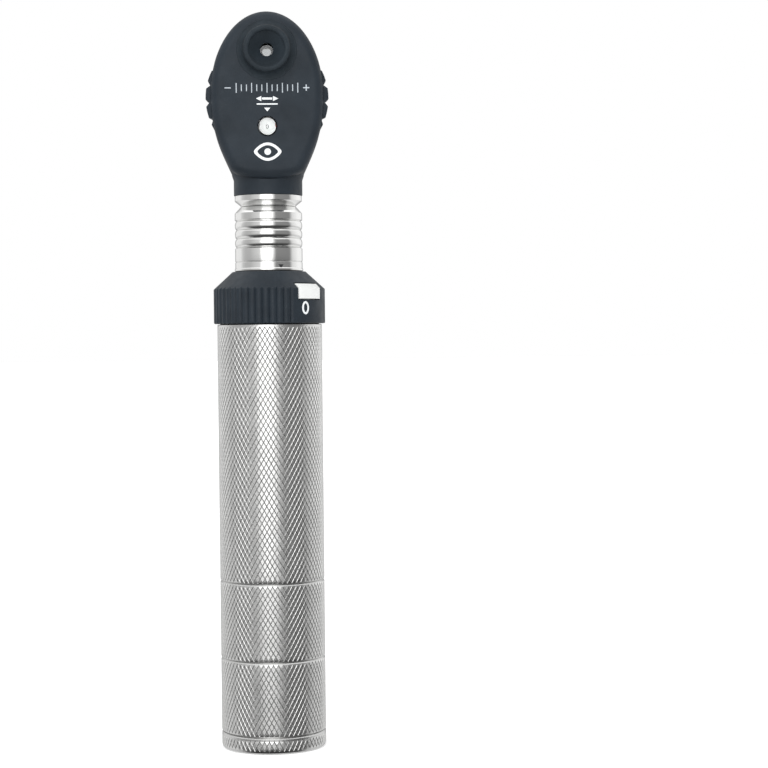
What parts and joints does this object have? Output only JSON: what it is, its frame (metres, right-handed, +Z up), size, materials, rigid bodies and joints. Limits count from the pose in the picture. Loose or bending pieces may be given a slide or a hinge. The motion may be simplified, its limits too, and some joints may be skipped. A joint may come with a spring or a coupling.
{
  "type": "ophthalmoscope",
  "caption": "Direct ophthalmoscope: oval head with a thumb-turned lens wheel, twist-lock neck, turning brightness ring with a lock button, and a knurled battery handle with a screw cap.",
  "frame": {"origin": "centre of the handle's flat base", "axes": "+Z up the handle to the head; -Y is the examiner's side with the eyepiece, +Y the patient's side with the light window; +X is to the examiner's right"},
  "size_m": [0.0318, 0.0292, 0.192],
  "materials": {
    "knurled_metal": "satin",
    "socket_chrome": "gloss",
    "shell_black": "matte",
    "ring_black": "satin",
    "rubber_black": "matte",
    "button_white": "satin",
    "core_black": "matte",
    "bush_cream": "matte",
    "track_carbon": "matte",
    "cell_can": "satin",
    "contact_brass": "satin",
    "spring_steel": "satin",
    "inner_black": "matte",
    "inner_steel": "satin",
    "dial_white": "satin",
    "lamp_ceramic": "matte",
    "clear_glass": "polished",
    "green_glass": "polished",
    "blue_glass": "polished",
    "mirror_glass": "polished"
  },
  "bodies": {
    "handle": {"handle_tube": "knurled_metal", "battery_cell_lower": "cell_can", "battery_cell_upper": "cell_can", "battery_contact": "contact_brass", "dimmer_core": "core_black", "resistance_track": "track_carbon", "bayonet_socket": "socket_chrome", "insulator_bush": "bush_cream", "contact_spring": "spring_steel"},
    "contact_pin": {"contact_pin": "contact_brass"},
    "dimmer_ring": {"dimmer_ring": "ring_black", "dimmer_wiper": "contact_brass", "button_spring": "spring_steel"},
    "lock_button": {"lock_button": "button_white"},
    "spring_seat": {"spring_seat": "inner_steel", "battery_spring": "spring_steel"},
    "end_cap": {"end_cap": "knurled_metal"},
    "head": {"head_connector": "socket_chrome", "bayonet_pins": "socket_chrome", "lamp_base": "lamp_ceramic", "lamp_contact": "contact_brass", "bulb_glass": "clear_glass", "filament": "inner_steel", "head_housing": "shell_black", "eyepiece_cover": "shell_black", "eyepiece_cup": "rubber_black", "sight_window": "clear_glass", "dial_window": "clear_glass", "front_window": "clear_glass", "front_bezel": "rubber_black", "cover_screws": "inner_steel", "chassis_plate": "inner_black", "wheel_axle": "inner_steel", "wheel_washer": "inner_steel", "detent_leaf": "spring_steel", "condenser_tube": "inner_black", "condenser_lens": "clear_glass", "objective_tube": "inner_black", "objective_lens": "clear_glass", "mirror_holder": "inner_black", "mirror": "mirror_glass", "aperture_axle": "inner_steel"},
    "lens_wheel": {"lens_wheel": "inner_black", "dial_ring": "dial_white", "plus_lenses": "clear_glass", "minus_lenses": "clear_glass"},
    "aperture_wheel": {"aperture_wheel": "inner_black", "fixation_glass": "clear_glass", "green_filter": "green_glass", "blue_filter": "blue_glass"},
    "detent_ball": {"detent_ball": "spring_steel"}
  },
  "joints": [
    {"name": "brightness_ring_turn", "type": "hinge", "parent": "handle", "child": "dimmer_ring", "pos_m": [0, 0, 0.1182], "axis": [0, 0, 1], "range_deg": [-120, 0]},
    {"name": "lock_button_press", "type": "slide", "parent": "dimmer_ring", "child": "lock_button", "axis": [-0.7314, 0.682, 0], "range_m": [0, 0.0008], "stiffness_N_per_m": 500, "deforming": ["button_spring"]},
    {"name": "centre_contact_travel", "type": "slide", "parent": "handle", "child": "contact_pin", "axis": [0, 0, 1], "range_m": [-0.0015, 0], "stiffness_N_per_m": 300, "deforming": ["contact_spring"]},
    {"name": "cap_travel", "type": "slide", "parent": "handle", "child": "spring_seat", "axis": [0, 0, -1], "range_m": [0, 0.004], "deforming": ["battery_spring"]},
    {"name": "cap_unscrew", "type": "hinge", "parent": "spring_seat", "child": "end_cap", "pos_m": [0, 0, 0], "axis": [0, 0, -1], "range_deg": [0, 1440]},
    {"name": "head_twist", "type": "hinge", "parent": "handle", "child": "head", "pos_m": [0, 0, 0.1372], "axis": [0, 0, 1], "range_deg": [0, 60]},
    {"name": "lens_wheel_turn", "type": "hinge", "parent": "head", "child": "lens_wheel", "pos_m": [0, -0.0067, 0.1697], "axis": [0, -1, 0], "continuous": true},
    {"name": "detent_ball_travel", "type": "slide", "parent": "head", "child": "detent_ball", "axis": [0, 1, 0], "range_m": [0, 0.00035], "stiffness_N_per_m": 200, "deforming": ["detent_leaf"]},
    {"name": "aperture_wheel_turn", "type": "hinge", "parent": "head", "child": "aperture_wheel", "pos_m": [0, 0.00445, 0.15985], "axis": [0, 0, 1], "continuous": true}
  ],
  "couplings": [
    {"joint": "cap_travel", "follows": "cap_unscrew", "m_per_rad": 0.000159}
  ]
}
